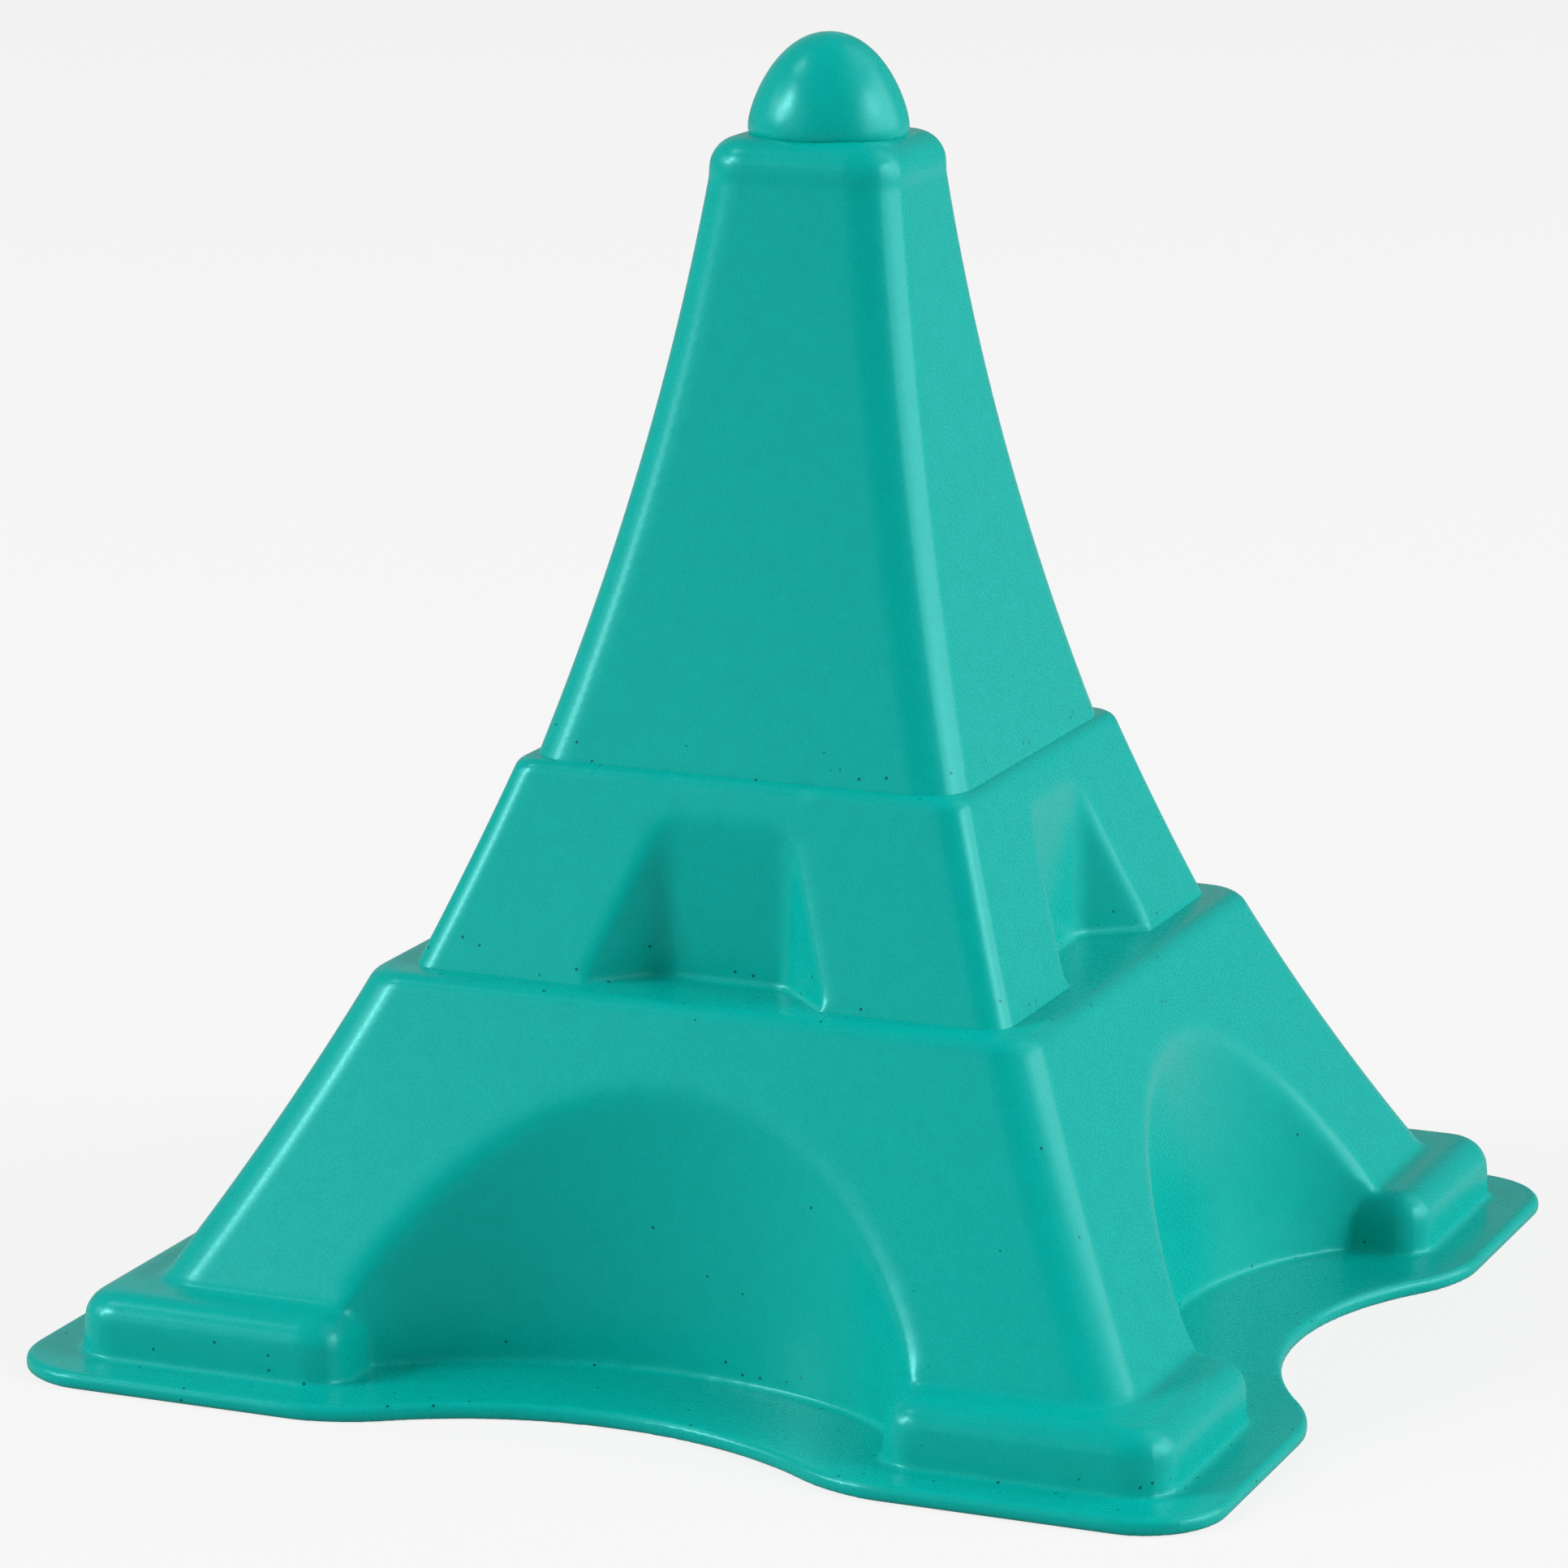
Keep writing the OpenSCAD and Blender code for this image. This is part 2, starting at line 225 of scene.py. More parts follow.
def pick(piece, test):
    """Selects what the test holds for, among the corners or edges of the open piece."""
    bpy.ops.mesh.select_all(action="DESELECT")
    mesh = bmesh.from_edit_mesh(piece.data)
    corners_picked = bpy.context.tool_settings.mesh_select_mode[0]
    for element in mesh.verts if corners_picked else mesh.edges:
        if test(element):
            element.select_set(True)
    bmesh.update_edit_mesh(piece.data)


def block(name, low, high):
    """A cube pulled to reach from one corner to the other, in millimetres."""
    piece = add_alone(name, bpy.ops.mesh.primitive_cube_add, size=1)
    open_piece(piece)
    bpy.ops.mesh.select_all(action="SELECT")
    size = [(b - a) * MM for a, b in zip(low, high)]
    bpy.ops.transform.resize(value=size, center_override=(0, 0, 0))
    bpy.ops.transform.translate(value=[(a + b) / 2 * MM for a, b in zip(low, high)])
    close_piece()
    return piece


def round_edges(piece, radius, test, segments=6):
    open_piece(piece, "EDGE")
    pick(piece, test)
    bpy.ops.mesh.bevel(offset=radius * MM, offset_type="OFFSET", segments=segments,
                       profile=0.5, affect="EDGES")
    close_piece()


def upright(edge):
    a, b = (v.co for v in edge.verts)
    return abs(a.z - b.z) > (a.xy - b.xy).length


def level_at(z):
    def test(edge):
        return all(abs(v.co.z - z * MM) < HAIR for v in edge.verts)
    return test


def outline_at(z):
    """Edges at height z between a level face and a steep one."""
    def test(edge):
        if not level_at(z)(edge) or len(edge.link_faces) != 2:
            return False
        tilts = sorted(abs(f.normal.z) for f in edge.link_faces)
        return tilts[0] < STEEP_RISE < tilts[1]
    return test


def stage(name, low_z, high_z, half_at, corner_r, top_gap):
    """A block cut into rows, each row scaled to the stage's width there, with round upright edges.

    The top row is as high as the gap given, which leaves room to round the top edge."""
    start = half_at(low_z)
    piece = block(name, (-start, -start, low_z), (start, start, high_z))
    count = round((high_z - top_gap - low_z) / ROW_H)
    heights = [low_z + (high_z - top_gap - low_z) * i / count for i in range(count + 1)] + [high_z]
    open_piece(piece)
    for z in heights[1:-1]:
        bpy.ops.mesh.select_all(action="SELECT")
        bpy.ops.mesh.bisect(plane_co=(0, 0, z * MM), plane_no=(0, 0, 1))
    for z in heights[1:]:
        pick(piece, lambda v: abs(v.co.z - z * MM) < HAIR)
        share = half_at(z) / start
        bpy.ops.transform.resize(value=(share, share, 1), center_override=(0, 0, z * MM))
    close_piece()
    round_edges(piece, corner_r, upright, segments=8)
    return piece


def turned_copy(piece, quarters):
    """A copy with its own mesh, turned about the tower's axis."""
    copy = piece.copy()
    copy.data = piece.data.copy()
    bpy.context.collection.objects.link(copy)
    copy.data.transform(Matrix.Rotation(quarters * QUARTER_TURN, 4, "Z"))
    return copy


def finish_with(piece, kind, **settings):
    """Gives the piece a modifier with its settings, and applies it."""
    step = piece.modifiers.new(kind.lower(), kind)
    for key, value in settings.items():
        setattr(step, key, value)
    bpy.ops.object.select_all(action="DESELECT")
    bpy.context.view_layer.objects.active = piece
    piece.select_set(True)
    bpy.ops.object.modifier_apply(modifier=step.name)


def combine(piece, tool, how):
    """Joins the tool to the piece or cuts it away, and uses it up."""
    finish_with(piece, "BOOLEAN", operation=how, object=tool, solver="EXACT")
    bpy.data.objects.remove(tool)


def on_four_sides(piece, tool, how):
    for quarters in (1, 2, 3):
        combine(piece, turned_copy(tool, quarters), how)
    combine(piece, tool, how)


# The forms that the moulding is made of. All but the rim take how far they are drawn in, 0 for the outside

def arch_cutter(inset):
    """An oval post that hollows one side out under its arch."""
    piece = add_alone("arch_cutter", bpy.ops.mesh.primitive_cylinder_add,
                      vertices=ARCH_POST_SIDES, radius=1, depth=1)
    open_piece(piece)
    bpy.ops.mesh.select_all(action="SELECT")
    size = (ARCH_SPAN + inset, ARCH_SWEEP + inset, ARCH_POST_H)
    bpy.ops.transform.resize(value=[length * MM for length in size], center_override=(0, 0, 0))
    bpy.ops.transform.translate(value=(0, -(ARCH_DEPTH + ARCH_SWEEP) * MM, ARCH_POST_MIDDLE_Z * MM))
    close_piece()
    return piece


def foot(inset):
    """A foot's block, a little narrower at its top, with rounded corners and top edges."""
    low, high, top = FOOT_INNER_END + inset, FOOT_HALF - inset, FOOT_TOP - inset
    bottom = FOOT_HOLLOW_LOW_Z if inset else 0.0
    piece = block("foot", (low, low, bottom), (high, high, top))
    open_piece(piece)
    pick(piece, lambda v: v.co.z > top * MM - HAIR)
    share = 1 - 2 * FOOT_DRAFT / (high - low)
    middle = (low + high) / 2 * MM
    bpy.ops.transform.resize(value=(share, share, 1), center_override=(middle, middle, top * MM))
    close_piece()

    def corner(edge):
        return upright(edge) and all(min(v.co.xy) > (low + CORNER_ROOM) * MM for v in edge.verts)

    def inner_end(edge):
        near, far = (low + CORNER_ROOM) * MM, (high - CORNER_ROOM) * MM
        return upright(edge) and all(min(v.co.xy) < near < far < max(v.co.xy) for v in edge.verts)

    round_edges(piece, FOOT_CORNER_R - inset, corner)
    round_edges(piece, FOOT_END_R - inset, inner_end)
    round_edges(piece, FOOT_EDGE_R - inset, outline_at(top))
    return piece


def niche_cutter(inset):
    """A wedge-sided slot that opens outwards and upwards out of the middle stage's side."""
    shift = inset * NICHE_SHIFT_SHARE
    back = NICHE_BACK - inset
    reach = NICHE_CUT_REACH
    back_half = NICHE_BACK_HALF + shift
    widening, depth = NICHE_MOUTH_HALF - NICHE_BACK_HALF, MIDDLE_BASE_HALF - NICHE_BACK
    mouth_half = back_half + (reach + inset) * widening / depth
    floor_z = PLATFORM1_Z - (OVERRUN if inset else NICHE_FLOOR_SINK)
    piece = block("niche_cutter", (-back_half, -back - reach - inset, floor_z),
                  (back_half, -back, PLATFORM2_Z + OVERRUN))
    open_piece(piece)
    pick(piece, lambda v: v.co.y < -(back + BACK_ROOM) * MM)
    bpy.ops.transform.resize(value=(mouth_half / back_half, 1, 1), center_override=(0, 0, 0))
    close_piece()
    round_edges(piece, NICHE_CORNER_R + inset,
                lambda e: upright(e) and all(v.co.y > -(back + BACK_ROOM) * MM for v in e.verts))

    def floor_edge(edge):
        mouth = -(back + reach - BACK_ROOM) * MM
        return level_at(floor_z)(edge) and any(v.co.y > mouth for v in edge.verts)

    if not inset:
        round_edges(piece, NICHE_FLOOR_R, floor_edge, segments=3)
    return piece


def dome_form(inset):
    """A half ball whose rings are scaled to the dome's blunter outline, with a short neck below."""
    radius, height = DOME_R - inset, DOME_H - inset
    piece = add_alone("dome", bpy.ops.mesh.primitive_uv_sphere_add,
                      segments=DOME_SIDES, ring_count=DOME_RINGS, radius=1)
    rings = sorted({round(v.co.z, 5) for v in piece.data.vertices if v.co.z > BALL_FOOT})
    open_piece(piece)
    for z in rings:
        pick(piece, lambda v: abs(v.co.z - z) < RING_HAIR)
        width = (1 - z ** DOME_POWERS[0]) ** DOME_POWERS[1]
        share = width / math.sqrt(1 - z * z) if z < BALL_TIP else 1
        bpy.ops.transform.resize(value=(share, share, 1), center_override=(0, 0, z))
    bpy.ops.mesh.select_all(action="SELECT")
    bpy.ops.transform.resize(value=(radius * MM, radius * MM, height * MM), center_override=(0, 0, 0))
    bpy.ops.mesh.select_all(action="SELECT")
    bpy.ops.mesh.bisect(plane_co=(0, 0, 0), plane_no=(0, 0, 1), use_fill=True, clear_inner=True)
    bpy.ops.mesh.extrude_region_move(TRANSFORM_OT_translate={"value": (0, 0, -sunk(inset) * MM)})
    bpy.ops.mesh.select_all(action="SELECT")
    bpy.ops.transform.translate(value=(0, 0, CAP_TOP_Z * MM))
    close_piece()
    return piece


def rim():
    """The flat rim, with a round-shouldered bay cut in each side."""
    piece = block("rim", (-RIM_HALF, -RIM_HALF, 0), (RIM_HALF, RIM_HALF, RIM_THICK))
    round_edges(piece, RIM_CORNER_R, upright, segments=16)
    rise = BAY_R - BAY_DEPTH
    shoulder_r = (BAY_HALF ** 2 + rise ** 2 - BAY_R ** 2) / (2 * BAY_DEPTH)
    turn = math.atan(BAY_HALF / (rise + shoulder_r))
    low, high = -CUT_ROOM, RIM_THICK + CUT_ROOM

    def post(x, y, r):
        tool = add_alone("post", bpy.ops.mesh.primitive_cylinder_add, vertices=BAY_POST_SIDES,
                         radius=r * MM, depth=(high - low + 2 * CUT_ROOM) * MM)
        open_piece(tool)
        bpy.ops.mesh.select_all(action="SELECT")
        bpy.ops.transform.translate(value=(x * MM, y * MM, (low + high) / 2 * MM))
        close_piece()
        return tool

    bend_y = -(RIM_HALF + rise - BAY_R * math.cos(turn))
    bay = block("bay_cutter", (-BAY_HALF, -RIM_HALF - OVERRUN, low), (BAY_HALF, bend_y, high))
    for side in (-1, 1):
        combine(bay, post(side * BAY_HALF, shoulder_r - RIM_HALF, shoulder_r), "DIFFERENCE")
    combine(bay, post(0, -RIM_HALF - rise, BAY_R), "UNION")
    on_four_sides(piece, bay, "DIFFERENCE")
    round_edges(piece, RIM_EDGE_R, outline_at(RIM_THICK), segments=4)
    round_edges(piece, RIM_UNDER_R, outline_at(0), segments=3)
    return piece


def lower_form(inset):
    """The lower stage up to the first platform, with its arches and feet."""
    low = HOLLOW_LOW_Z if inset else 0.0
    piece = stage("lower", low, PLATFORM1_Z - inset, lambda z: lower_half(z) - inset,
                  LOWER_CORNER_R - inset, LOWER_TOP_GAP)
    on_four_sides(piece, arch_cutter(inset), "DIFFERENCE")
    if not inset:
        round_edges(piece, PLATFORM1_ROUND, outline_at(PLATFORM1_Z))
    on_four_sides(piece, foot(inset), "UNION")
    return piece


def middle_form(inset):
    """The middle stage with its niches. It starts a little way down in the first platform."""
    piece = stage("middle", PLATFORM1_Z - sunk(inset), PLATFORM2_Z - inset,
                  lambda z: middle_half(z) - inset, MIDDLE_CORNER_R - inset, MIDDLE_TOP_GAP)
    if not inset:
        round_edges(piece, PLATFORM2_ROUND, outline_at(PLATFORM2_Z))
    on_four_sides(piece, niche_cutter(inset), "DIFFERENCE")
    return piece


def spire_form(inset):
    """The spire with its cap."""
    piece = stage("spire", PLATFORM2_Z - sunk(inset), CAP_TOP_Z - inset,
                  lambda z: spire_half(z) - inset, SPIRE_CORNER_R - inset, CAP_TOP_Z - CAP_Z - inset)
    round_edges(piece, CAP_EDGE_R - inset, outline_at(CAP_TOP_Z - inset))
    return piece


def sunk(inset):
    """How deep a form starts in the one below: within its wall, or right through it for the hollow."""
    return WALL + HOLLOW_SINK if inset else WALL / 2


def hollow():
    """The space inside the mould, which reaches out through its open underside."""
    space = lower_form(WALL)
    for part in (middle_form(WALL), spire_form(WALL), dome_form(WALL)):
        combine(space, part, "UNION")
    return space


def side_place(corner):
    """Where a corner lies on the side that it is nearest to: along it, out from the axis, and up."""
    x, y, z = (c / MM for c in corner)
    return (abs(x), abs(y), z) if abs(y) > abs(x) else (abs(y), abs(x), z)


def nearness(distance, reach):
    """1 at the edge itself, falling smoothly to 0 at the reach."""
    t = min(1.0, distance / reach)
    return (1 - t * t) ** 2


def rise_over(z, start, span):
    t = min(1.0, max(0.0, (z - start) / span))
    return t * t * (3 - 2 * t)


def arch_softness(along, out, z):
    if along > ARCH_SPAN - ARCH_END_ROOM or z > PLATFORM1_Z:
        return 0
    slope = ARCH_SWEEP / ARCH_SPAN * along / math.sqrt(ARCH_SPAN ** 2 - along ** 2)
    wall_at = ARCH_DEPTH + ARCH_SWEEP * (1 - math.sqrt(1 - (along / ARCH_SPAN) ** 2))
    from_wall = (out - wall_at) / math.hypot(1, slope)
    from_face = (out - lower_half(z)) * LOWER_LEAN_SHARE
    near = nearness(math.hypot(from_wall, from_face), ARCH_SOFT_REACH)
    return near * rise_over(z, FOOT_TOP + ARCH_SOFT_START, ARCH_SOFT_RISE)


def niche_softness(along, out, z):
    if z < PLATFORM1_Z or z > PLATFORM2_Z:
        return 0
    slope = (MIDDLE_BASE_HALF - NICHE_BACK) / (NICHE_MOUTH_HALF - NICHE_BACK_HALF)
    on_side = along > NICHE_BACK_HALF
    wall_at = NICHE_BACK + (slope * (along - NICHE_BACK_HALF) if on_side else 0)
    from_wall = (out - wall_at) / (math.hypot(1, slope) if on_side else 1)
    from_face = (out - middle_half(z)) * MIDDLE_LEAN_SHARE
    near = nearness(math.hypot(from_wall, from_face), NICHE_SOFT_REACH)
    return NICHE_SOFT_SHARE * near * rise_over(z, PLATFORM1_Z + NICHE_SOFT_START, NICHE_SOFT_RISE)


def leg_foot_softness(along, out, z):
    if along < LOWER_BASE_HALF - LOWER_CORNER_R:
        beside_leg = out - LOWER_BASE_HALF
    else:
        beside_leg = math.hypot(out - LOWER_BASE_HALF + LOWER_CORNER_R,
                                along - LOWER_BASE_HALF + LOWER_CORNER_R) - LOWER_CORNER_R
    return LEG_SOFT_SHARE * nearness(math.hypot(beside_leg, z - FOOT_TOP), LEG_SOFT_REACH)


def soften(piece):
    """Rounds the arches' and niches' edges far more than the rest, and the legs' creases a little."""
    group = piece.vertex_groups.new(name="soft_edges")
    for vertex in piece.data.vertices:
        place = side_place(vertex.co)
        if place[2] > PLATFORM2_Z:
            continue
        weight = max(arch_softness(*place), niche_softness(*place), leg_foot_softness(*place))
        if weight > LEAST_SOFTNESS:
            group.add([vertex.index], weight, "REPLACE")
    finish_with(piece, "SMOOTH", factor=SMOOTH_STRENGTH, iterations=SOFT_STEPS, vertex_group=group.name)


def skin_of(form, space):
    """The plastic between a form's outside and the hollow, softened as polypropylene leaves its tool."""
    combine(form, turned_copy(space, 0), "DIFFERENCE")
    finish_with(form, "REMESH", mode="VOXEL", voxel_size=SKIN_VOXEL * MM)
    finish_with(form, "SMOOTH", factor=SMOOTH_STRENGTH, iterations=SMOOTH_STEPS)
    soften(form)
    finish_with(form, "DECIMATE", ratio=KEPT_SHARE)
    form.data.polygons.foreach_set("use_smooth", [True] * len(form.data.polygons))
    keep_normals(form)
    return form


def keep_normals(skin):
    """Notes how light meets the whole skin, so that no seam shows where it is parted."""
    noted = skin.data.attributes.new(NORMAL_NOTE, "FLOAT_VECTOR", "POINT")
    noted.data.foreach_set("vector", [c for normal in skin.data.vertex_normals for c in normal.vector])


def give_normals(zone):
    """Shades the zone as the whole skin, and its cut faces flat."""
    mesh = zone.data
    noted = [Vector(item.vector).normalized() for item in mesh.attributes[NORMAL_NOTE].data]
    by_corner = [Vector() for _ in mesh.loops]
    for face in mesh.polygons:
        if face.use_smooth:
            for corner in face.loop_indices:
                by_corner[corner] = noted[mesh.loops[corner].vertex_index]
    mesh.normals_split_custom_set(by_corner)
    mesh.attributes.remove(mesh.attributes[NORMAL_NOTE])


def divide(piece, axis, at):
    """Cuts the piece straight across and closes both halves. Gives the lower and the higher one."""
    low_half, high_half = piece, turned_copy(piece, 0)
    across = [1 if letter == axis else 0 for letter in "xyz"]
    for half in (low_half, high_half):
        open_piece(half)
        bpy.ops.mesh.select_all(action="SELECT")
        bpy.ops.mesh.bisect(plane_co=[at * MM * c for c in across], plane_no=across, use_fill=True,
                            threshold=CUT_TOLERANCE, clear_outer=half is low_half,
                            clear_inner=half is high_half)
        bpy.ops.mesh.faces_shade_flat()
        bpy.ops.mesh.select_all(action="SELECT")
        bpy.ops.mesh.normals_make_consistent(inside=False)
        close_piece()
    return low_half, high_half


def part_corners(piece):
    """Parts a ring of the skin into its four corners and four sides."""
    left, rest = divide(piece, "x", -LEG_INNER)
    middle, right = divide(rest, "x", LEG_INNER)
    front, back = divide(middle, "y", 0)
    corners, sides = {}, {"front": front, "back": back}
    for name, column in (("left", left), ("right", right)):
        corners["front_" + name], rest = divide(column, "y", -LEG_INNER)
        sides[name], corners["back_" + name] = divide(rest, "y", LEG_INNER)
    return corners, sides


def moulding():
    """All zones of the moulding, each under the name of the node that it stands for.

    The creases round the feet are soft, so the rim, feet and lower stage are one skin before they
    are parted. Round the foot of each higher stage the crease is sharp."""
    space = hollow()
    base = lower_form(0)
    combine(base, rim(), "UNION")
    zones = {}
    zones["rim_flange"], rest = divide(skin_of(base, space), "z", RIM_THICK + OVER_CREASE)
    ring, zones["first_platform"] = divide(rest, "z", ARCH_TOP_Z)
    corners, sides = part_corners(ring)
    for place, corner in corners.items():
        zones["foot_" + place], zones["leg_" + place] = divide(corner, "z", FOOT_TOP + OVER_CREASE)
    for place, side in sides.items():
        zones["arch_" + place] = side
    middle = skin_of(middle_form(0), space)
    zones["middle_stage"], zones["second_platform"] = divide(middle, "z", NICHE_TOP_Z)
    zones["spire"], zones["cap"] = divide(skin_of(spire_form(0), space), "z", CAP_Z)
    zones["dome"] = skin_of(dome_form(0), space)
    bpy.data.objects.remove(space)
    return zones


zones = moulding()

# Polypropylene, injection-moulded in a spark-eroded tool

def srgb(hex_colour):
    """An sRGB hex value turned to linear."""
    channels = [int(hex_colour[i:i + 2], 16) / 255 for i in (1, 3, 5)]
    return tuple(c / 12.92 if c <= 0.04045 else ((c + 0.055) / 1.055) ** 2.4 for c in channels) + (1,)


def add_node(tree, kind, links=(), **settings):
    """Adds a node with its settings, and links each source given to its socket."""
    node = tree.nodes.new(kind)
    for key, value in settings.items():
        if key in node.inputs:
            node.inputs[key].default_value = value
        else:
            setattr(node, key, value)
    for source, socket in links:
        tree.links.new(source, node.inputs[socket])
    return node


# Sizes of the finish, in millimetres. The real grain, 0.05 mm wide, is too fine to show, so it is coarser
GRAIN = 0.45
GRAIN_DEPTH = 0.006
DRIFT = 3.0
SPECK_SPACING = 1.5
SPECK_R = 0.3
SPECK_BAND = 4.0

# Share of a speck's radius that is at its full colour, and shares of the places that hold a speck
SPECK_CORE_SHARE = 0.6
PLAIN_SPECKS_SHARE = 0.006
CREASE_SPECKS_SHARE = 0.24

# Places of a Mix node's sockets: what it mixes as numbers or as colours, and the mixed colour
NUMBER_A, NUMBER_B = 2, 3
COLOUR_A, COLOUR_B, MIXED_COLOUR = 6, 7, 2

# Polypropylene's refraction, and its roughness in the grain's pits and on its peaks
IOR = 1.49
ROUGHNESS_LOW, ROUGHNESS_HIGH = 0.24, 0.32

# Levels of the noise between which the roughness and the colour change
GRAIN_LOW, GRAIN_HIGH = 0.3, 0.7
SHADE_LOW, SHADE_HIGH = 0.35, 0.65

# Colours of the pigment and of the specks, and the tint that the gloss has in the photograph
DEEP_TEAL = "#00b9ae"
LIGHT_TEAL = "#00c0b6"
SPECK_TEAL = "#005e55"
HIGHLIGHT_TINT = (0.3, 1, 1, 1)


def polypropylene():
    """Opaque coloured polypropylene from a spark-eroded tool: a silky gloss broken by fine grain."""
    material = bpy.data.materials.new("moulded_polypropylene")
    material.use_nodes = True
    tree = material.node_tree
    shader = tree.nodes["Principled BSDF"]
    shader.inputs["IOR"].default_value = IOR
    shader.inputs["Specular Tint"].default_value = HIGHLIGHT_TINT
    place = add_node(tree, "ShaderNodeTexCoord").outputs["Object"]

    # The grain that the eroded tool leaves, and the slow drift of the pigment through the melt
    grain = add_node(tree, "ShaderNodeTexNoise", [(place, "Vector")], Scale=1 / (GRAIN * MM), Detail=3.0)
    drift = add_node(tree, "ShaderNodeTexNoise", [(place, "Vector")], Scale=1 / (DRIFT * MM), Detail=4.0)
    shade = add_node(tree, "ShaderNodeMix",
                     [(grain.outputs["Fac"], NUMBER_A), (drift.outputs["Fac"], NUMBER_B)])
    colour = add_node(tree, "ShaderNodeValToRGB", [(shade.outputs[0], "Fac")])
    low, high = colour.color_ramp.elements
    low.position, low.color = SHADE_LOW, srgb(DEEP_TEAL)
    high.position, high.color = SHADE_HIGH, srgb(LIGHT_TEAL)
    gloss = add_node(tree, "ShaderNodeMapRange", [(grain.outputs["Fac"], "Value")], **{
        "From Min": GRAIN_LOW, "From Max": GRAIN_HIGH,
        "To Min": ROUGHNESS_LOW, "To Max": ROUGHNESS_HIGH})

    # Specks of darker plastic and trapped sand, most of them just over the creases
    cells = add_node(tree, "ShaderNodeTexVoronoi", [(place, "Vector")], Scale=1 / (SPECK_SPACING * MM))
    dot = add_node(tree, "ShaderNodeMapRange", [(cells.outputs["Distance"], "Value")], **{
        "From Min": SPECK_CORE_SHARE * SPECK_R / SPECK_SPACING, "From Max": SPECK_R / SPECK_SPACING,
        "To Min": 1, "To Max": 0})
    chance = add_node(tree, "ShaderNodeSeparateColor", [(cells.outputs["Color"], "Color")])
    up = add_node(tree, "ShaderNodeSeparateXYZ", [(place, "Vector")]).outputs["Z"]
    share = None
    for crease_z in (RIM_THICK, PLATFORM1_Z, PLATFORM2_Z):
        over = add_node(tree, "ShaderNodeMath", [(up, 0)], operation="SUBTRACT")
        over.inputs[1].default_value = (crease_z + SPECK_BAND / 2) * MM
        off = add_node(tree, "ShaderNodeMath", [(over.outputs[0], 0)], operation="ABSOLUTE")
        near = add_node(tree, "ShaderNodeMapRange", [(off.outputs[0], "Value")], **{
            "From Max": SPECK_BAND * MM, "To Min": CREASE_SPECKS_SHARE, "To Max": PLAIN_SPECKS_SHARE})
        if share is None:
            share = near.outputs[0]
        else:
            most = add_node(tree, "ShaderNodeMath", [(share, 0), (near.outputs[0], 1)], operation="MAXIMUM")
            share = most.outputs[0]
    kept = add_node(tree, "ShaderNodeMath", [(chance.outputs["Red"], 0), (share, 1)], operation="LESS_THAN")
    speck = add_node(tree, "ShaderNodeMath", [(kept.outputs[0], 0), (dot.outputs[0], 1)],
                     operation="MULTIPLY")
    base = add_node(tree, "ShaderNodeMix", data_type="RGBA")
    tree.links.new(speck.outputs[0], base.inputs["Factor"])
    tree.links.new(colour.outputs["Color"], base.inputs[COLOUR_A])
    base.inputs[COLOUR_B].default_value = srgb(SPECK_TEAL)
    tree.links.new(base.outputs[MIXED_COLOUR], shader.inputs["Base Color"])
    tree.links.new(gloss.outputs[0], shader.inputs["Roughness"])
    relief = add_node(tree, "ShaderNodeBump", [(grain.outputs["Fac"], "Height")],
                      Strength=1.0, Distance=GRAIN_DEPTH * MM)
    tree.links.new(relief.outputs["Normal"], shader.inputs["Normal"])
    return material


plastic = polypropylene()
for node, zone in zones.items():
    zone.name = zone.data.name = "moulded_" + node
    give_normals(zone)
    zone.data.materials.clear()
    zone.data.materials.append(plastic)
    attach(zone, "root")
    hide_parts(node)

# Studio: how the paper looks to the camera and to the mould, and the light from all round
PAPER_WHITE = "#f4f4f2"
PAPER_MIRRORED = "#a8a8a6"
PAPER_ROUGHNESS = 0.9
PAPER_FAINT_GLOW = 0.06
PAPER_GLOW = 0.95
PAPER_GLOW_SHARE = 0.85
WORLD_LIGHT = 0.15

# The floor's width and the softboxes' distance, in metres, and the point that they are turned to
FLOOR_WIDTH = 60
SOFTBOX_DISTANCE = 3.0
LIT_POINT = (0, 0, 0.08)


def paper():
    """White seamless paper. Only the camera sees it at its full white and lit by itself.

    In the photograph the mould's upright faces mirror something darker than the white round it."""
    material = bpy.data.materials.new("seamless_paper")
    material.use_nodes = True
    tree = material.node_tree
    matt = tree.nodes["Principled BSDF"]
    matt.inputs["Roughness"].default_value = PAPER_ROUGHNESS
    matt.inputs["Emission Color"].default_value = (1, 1, 1, 1)
    matt.inputs["Emission Strength"].default_value = PAPER_FAINT_GLOW
    glow = add_node(tree, "ShaderNodeEmission", Strength=PAPER_GLOW)
    ray = add_node(tree, "ShaderNodeLightPath")
    white = add_node(tree, "ShaderNodeMix", [(ray.outputs["Is Camera Ray"], "Factor")], data_type="RGBA")
    white.inputs[COLOUR_A].default_value = srgb(PAPER_MIRRORED)
    white.inputs[COLOUR_B].default_value = srgb(PAPER_WHITE)
    tree.links.new(white.outputs[MIXED_COLOUR], matt.inputs["Base Color"])
    share = add_node(tree, "ShaderNodeMath", [(ray.outputs["Is Camera Ray"], 0)], operation="MULTIPLY")
    share.inputs[1].default_value = PAPER_GLOW_SHARE
    both = add_node(tree, "ShaderNodeMixShader",
                    [(share.outputs[0], 0), (matt.outputs[0], 1), (glow.outputs[0], 2)])
    tree.links.new(both.outputs[0], tree.nodes["Material Output"].inputs["Surface"])
    return material


floor = add_alone("floor", bpy.ops.mesh.primitive_plane_add, size=FLOOR_WIDTH)
floor.data.materials.append(paper())

world = bpy.data.worlds.new("studio")
bpy.context.scene.world = world
world.use_nodes = True
world.node_tree.nodes["Background"].inputs["Color"].default_value = (1, 1, 1, 1)
world.node_tree.nodes["Background"].inputs["Strength"].default_value = WORLD_LIGHT


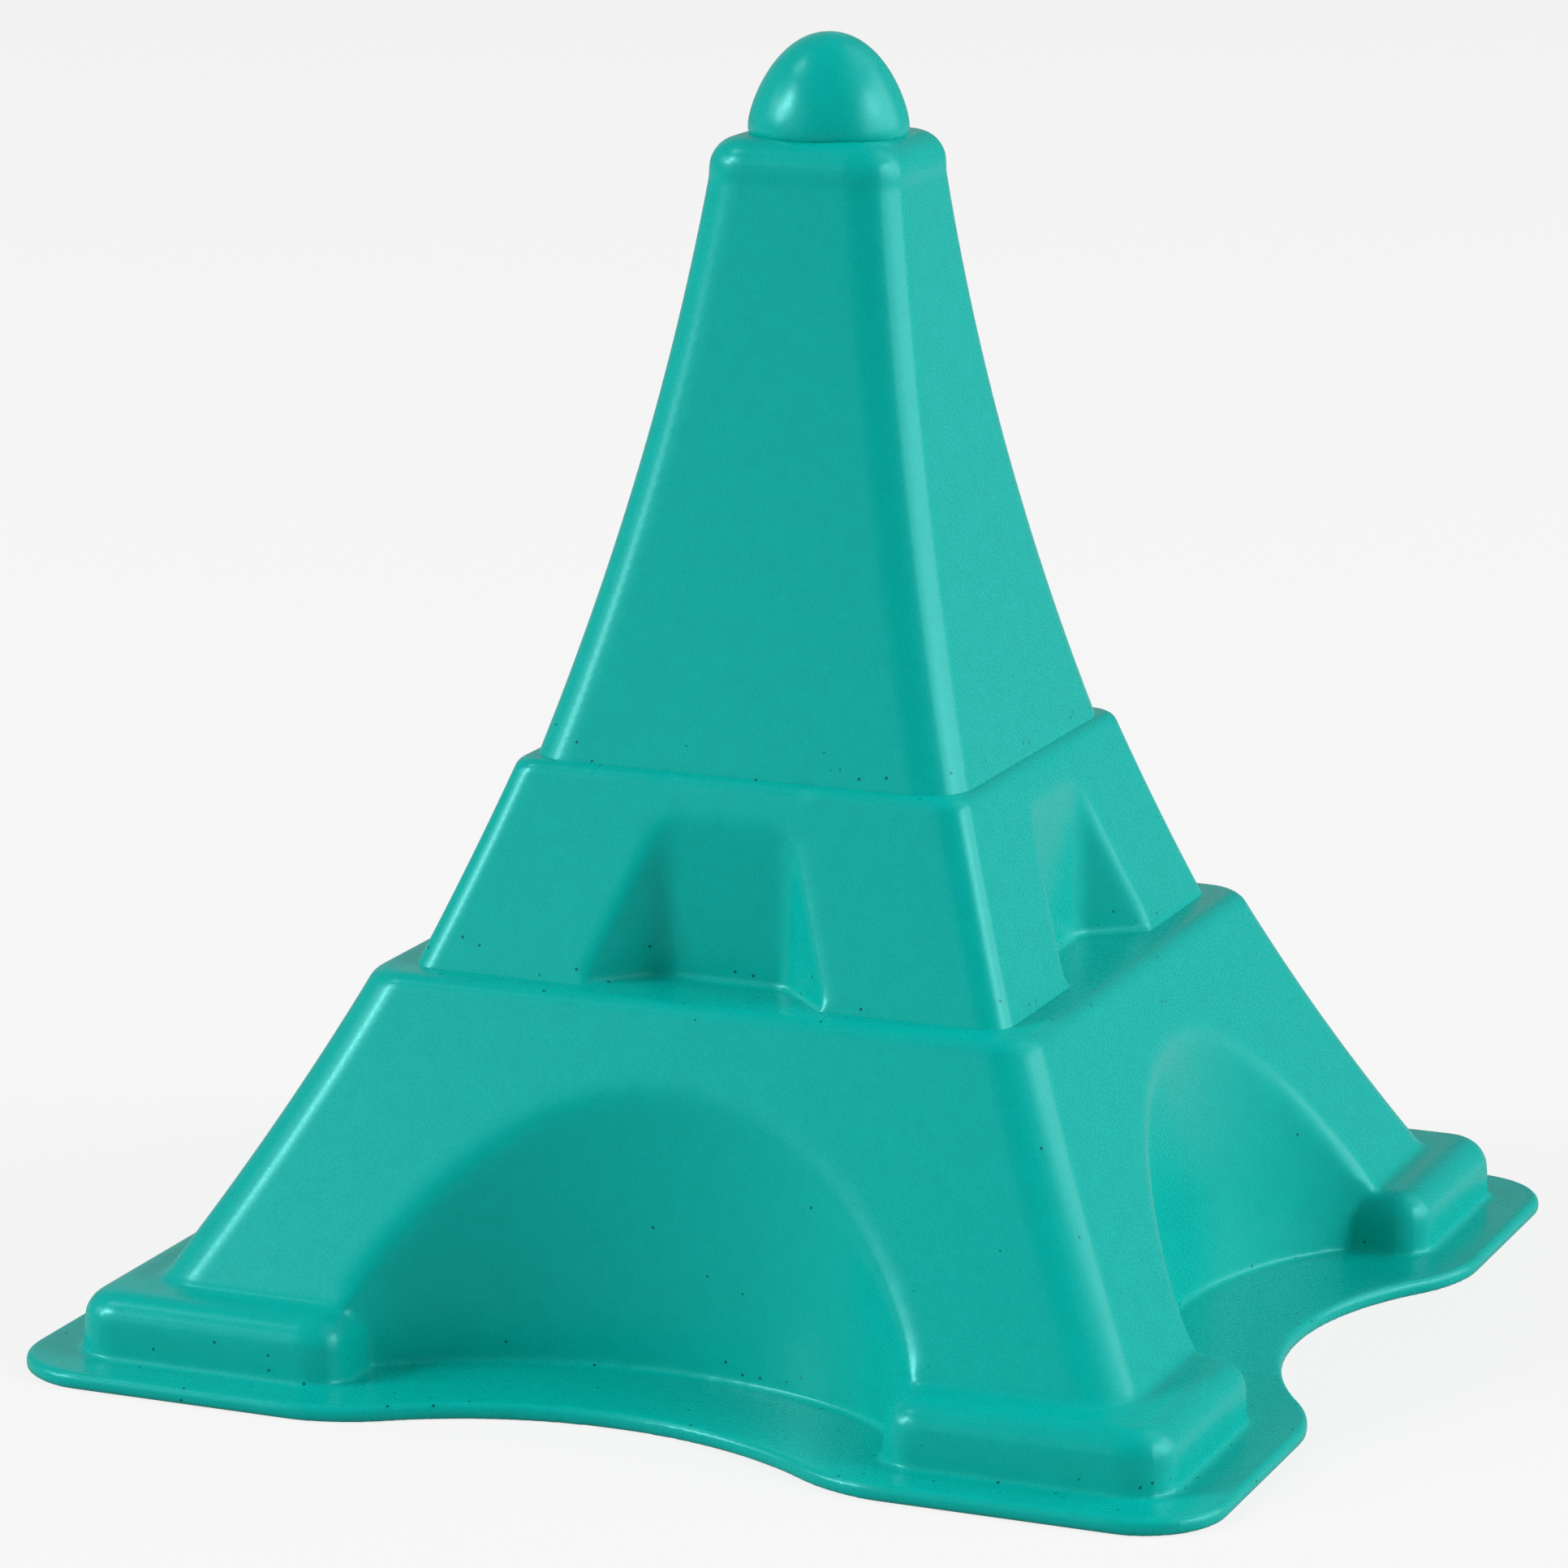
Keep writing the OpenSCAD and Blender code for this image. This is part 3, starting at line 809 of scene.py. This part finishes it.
def direction(across, rise):
    """The way out from the mould at an angle round it and an angle up."""
    return Vector((math.sin(across) * math.cos(rise), -math.cos(across) * math.cos(rise), math.sin(rise)))


def softbox(name, azimuth, elevation, size, power):
    """A square softbox, in metres and watts. Azimuth 0 is in front of the mould, and 90 on its right."""
    light = bpy.data.lights.new(name, "AREA")
    light.shape = "SQUARE"
    light.size = size
    light.energy = power
    lamp = bpy.data.objects.new(name, light)
    bpy.context.collection.objects.link(lamp)
    across, rise = math.radians(azimuth), math.radians(elevation)
    outwards = direction(across, rise)
    lamp.matrix_world = Matrix.Translation(Vector(LIT_POINT) + outwards * SOFTBOX_DISTANCE) @ (
        outwards.to_track_quat("Z", "Y").to_matrix().to_4x4())


softbox("left_low", -58, 22, 0.6, 20)
softbox("left_key", -50, 32, 0.5, 25)
softbox("left_side_low", -75, 22, 0.7, 4)
softbox("left_front_low", -35, 18, 1.8, 7)
softbox("left_back_low", -150, 18, 1.8, 2)
softbox("left_high", -70, 54, 0.5, 7)
softbox("right_low", 90, 18, 1.8, 30)
softbox("right_key", 95, 30, 0.9, 14)
softbox("right_back_low", 120, 18, 1.8, 26)
softbox("right_high", 90, 50, 1.8, 4)
softbox("right_back_high", 135, 50, 1.8, 9)

# Camera, at the photograph's angle. Its distance and aim are in metres, its lens and film in millimetres
AZIMUTH, ELEVATION, ROLL = math.radians(21.55), math.radians(12.89), math.radians(0.63)
DISTANCE, AIM_SIDE, AIM_HEIGHT = 1.0456, -0.00576, 0.08172
LENS, FILM_WIDTH = 152.94, 36
back = direction(AZIMUTH, ELEVATION)
level_right = Vector((math.cos(AZIMUTH), math.sin(AZIMUTH), 0))
level_up = back.cross(level_right)
right = level_right * math.cos(ROLL) + level_up * math.sin(ROLL)
up = level_up * math.cos(ROLL) - level_right * math.sin(ROLL)
eye = level_right * AIM_SIDE + Vector((0, 0, AIM_HEIGHT)) + back * DISTANCE
camera_data = bpy.data.cameras.new("camera")
camera_data.lens = LENS
camera_data.sensor_width = FILM_WIDTH
camera = bpy.data.objects.new("camera", camera_data)
bpy.context.collection.objects.link(camera)
camera.matrix_world = Matrix.Translation(eye) @ Matrix((right, up, back)).transposed().to_4x4()
bpy.context.scene.camera = camera
bpy.context.scene.view_settings.view_transform = "Standard"
